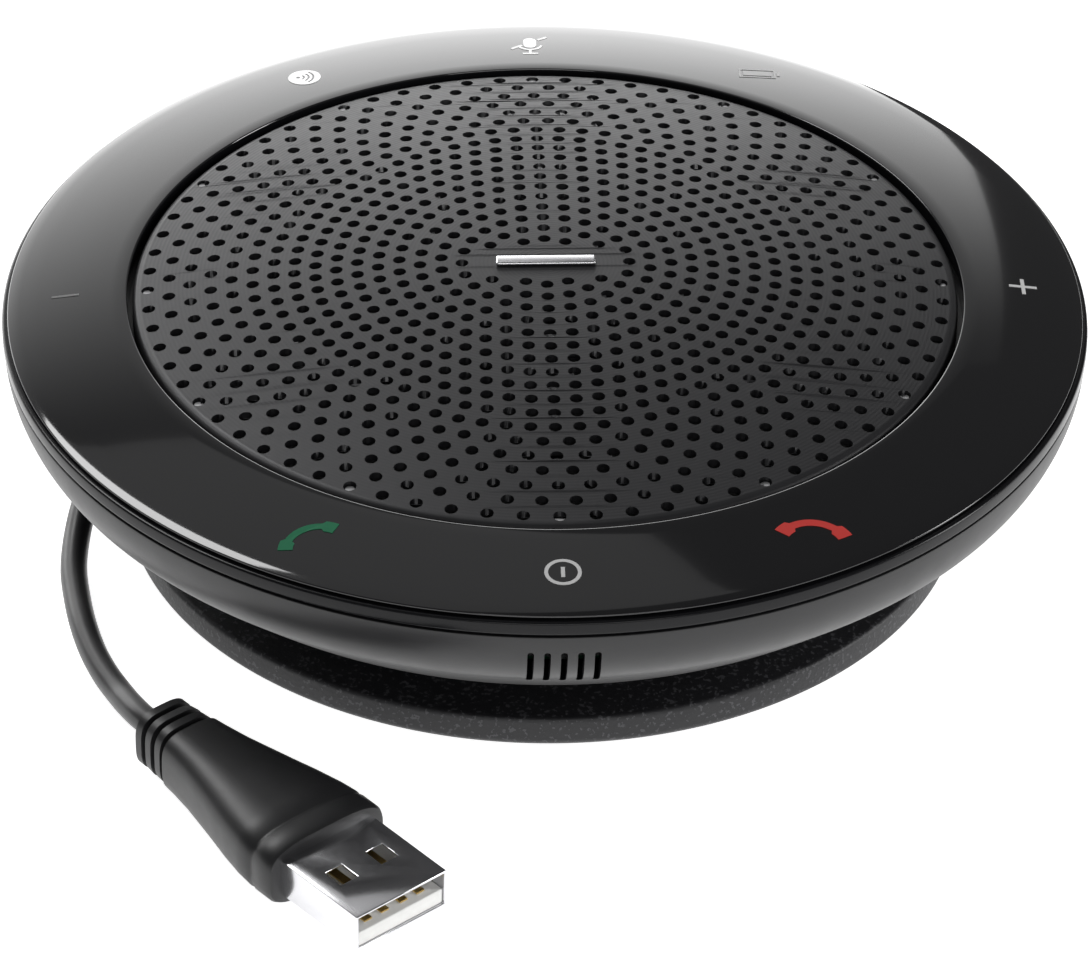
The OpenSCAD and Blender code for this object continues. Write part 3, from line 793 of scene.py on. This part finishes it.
class SPEAKERPHONE_OT_plug(bpy.types.Operator):
    """Moulded grip, steel shell and insulator of the plug"""
    bl_idname = "speakerphone.plug"
    bl_label = "Plug"

    def to_place(self, obj):
        c, s = cos(PLUG_ANGLE), sin(PLUG_ANGLE)
        for vertex in obj.data.vertices:
            x, y, z = vertex.co
            vertex.co = PLUG_AT + Vector((x * c - y * s, x * s + y * c, z))

    def copy_of(self, node):
        obj = frame["nodes"][node].copy()
        obj.data = obj.data.copy()
        obj.parent = None
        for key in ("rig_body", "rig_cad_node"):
            if key in obj:
                del obj[key]
        bpy.context.scene.collection.objects.link(obj)
        edit(obj, "SELECT")
        bpy.ops.mesh.remove_doubles(threshold=1e-6)
        bpy.ops.mesh.dissolve_limited(angle_limit=radians(1))
        done()
        return obj

    def grip(self):
        stations = [
            (0, 3.3, 3.3), (0.15, 3.5, 3.5), (1.1, 3.5, 3.5), (1.2, 2.9, 2.9),
            (1.7, 2.9, 2.9), (1.8, 3.5, 3.5),
            (2.8, 3.6, 3.6), (2.9, 3, 3), (3.4, 3, 3), (3.5, 3.6, 3.6), (4.5, 3.7, 3.6), (4.6, 3.2, 3.2),
            (5.0, 3.2, 3.2), (5.3, 4.0, 3.7), (7, 4.2, 3.75), (10, 4.7, 3.8), (13, 5.4, 3.85), (16, 6.1, 3.9),
            (19, 6.85, 3.95), (22, 7.45, 4), (24.2, 7.7, 4), (24.5, 7.55, 3.85),
            (24.9, 7.55, 3.85), (25.2, 7.75, 4),
            (27.5, 7.75, 3.98), (27.9, 7.55, 3.8), (28, 7.2, 3.5),
        ]
        bpy.ops.mesh.primitive_circle_add(vertices=48, radius=1, fill_type="NGON")
        obj = bpy.context.object
        for vertex in obj.data.vertices:
            angle = atan2(vertex.co.y, vertex.co.x)
            power = 2 / 3.4
            y = abs(cos(angle)) ** power * (1 if cos(angle) >= 0 else -1)
            z = abs(sin(angle)) ** power * (1 if sin(angle) >= 0 else -1)
            vertex.co = (0, y * stations[0][1] * MM, z * stations[0][2] * MM)
        edit(obj, "SELECT")
        for (x0, w0, h0), (x1, w1, h1) in zip(stations, stations[1:]):
            bpy.ops.mesh.extrude_region_move(TRANSFORM_OT_translate={"value": ((x1 - x0) * MM, 0, 0)})
            bpy.ops.transform.resize(value=(1, w1 / w0, h1 / h0), center_override=(x1 * MM, 0, 0))
        bpy.ops.mesh.select_all(action="SELECT")
        bpy.ops.mesh.normals_make_consistent(inside=False)
        done()
        return obj

    def execute(self, context):
        grip = self.grip()
        self.to_place(grip)
        finish_piece(grip, "plug_grip_visual",
                     soft_black("grip_rubber", (0.01, 0.01, 0.011), 0.42), "cable_black",
                     "plug_grip", angle=40)
        steel = metal("plug_steel", (0.72, 0.72, 0.74), 0.2)
        shell = self.copy_of("plug_shell")
        apply_modifier(shell, "BEVEL", width=0.12 * MM, segments=3,
                       limit_method="ANGLE", angle_limit=radians(40))
        finish_piece(shell, "plug_shell_visual", steel, "plug_steel", "plug_shell")
        insulator = self.copy_of("plug_insulator")
        apply_modifier(insulator, "BEVEL", width=0.15 * MM, segments=3)
        finish_piece(insulator, "plug_insulator_visual", moulded("insulator_white", (0.85, 0.85, 0.83), 0.4),
                     "white_plastic", "plug_insulator")
        return {"FINISHED"}


# ---- finishes of the carried-over pieces ----

class SPEAKERPHONE_OT_finishes(bpy.types.Operator):
    """Materials of the pieces that keep their own shape"""
    bl_idname = "speakerphone.finishes"
    bl_label = "Finishes"

    def execute(self, context):
        record = frame["record"]
        colors = {m["slot"]: m["base_color"][:3] for m in record["materials"]}
        classes = {m["slot"]: m["class"] for m in record["materials"]}
        made = {}
        for part in record["subparts"]:
            slot = part["material_slot"]
            if slot not in made:
                color, kind = tuple(colors[slot]), classes[slot]
                if kind in ("brushed_steel", "aluminium", "chrome", "brass"):
                    made[slot] = metal(slot + "_metal", color, 0.3)
                elif kind in ("fabric", "paper"):
                    made[slot] = woven(slot + "_weave", color, 9000)
                elif kind == "rubber":
                    made[slot] = soft_black(slot + "_rubber", color, 0.6)
                else:
                    made[slot] = moulded(slot + "_moulded", color, 0.45)
            obj = frame["nodes"][part["node"]]
            obj.data.materials.clear()
            obj.data.materials.append(made[slot])
        return {"FINISHED"}


class SPEAKERPHONE_PT_panel(bpy.types.Panel):
    """Lists the speakerphone's pieces"""
    bl_label = "Speakerphone"
    bl_idname = "SPEAKERPHONE_PT_panel"
    bl_space_type = "VIEW_3D"
    bl_region_type = "UI"
    bl_category = "Speakerphone"

    def draw(self, context):
        for operator in OPERATORS:
            self.layout.operator(operator.bl_idname)


GROUPS = {"stage": StageSettings, "body": BodySettings, "cable": CableSettings}
OPERATORS = (
    SPEAKERPHONE_OT_stage, SPEAKERPHONE_OT_finishes, SPEAKERPHONE_OT_plug, SPEAKERPHONE_OT_cable,
    SPEAKERPHONE_OT_ring, SPEAKERPHONE_OT_grille, SPEAKERPHONE_OT_symbols, SPEAKERPHONE_OT_housing,
)


def register():
    for cls in (*GROUPS.values(), *OPERATORS, SPEAKERPHONE_PT_panel):
        bpy.utils.register_class(cls)
    for name, cls in GROUPS.items():
        setattr(bpy.types.Scene, name, PointerProperty(type=cls))


def unregister():
    for name in GROUPS:
        delattr(bpy.types.Scene, name)
    for cls in (*GROUPS.values(), *OPERATORS, SPEAKERPHONE_PT_panel):
        bpy.utils.unregister_class(cls)


def main():
    register()
    for operator in OPERATORS:
        getattr(bpy.ops.speakerphone, operator.bl_idname.split(".")[1])()


if __name__ == "__main__":
    main()
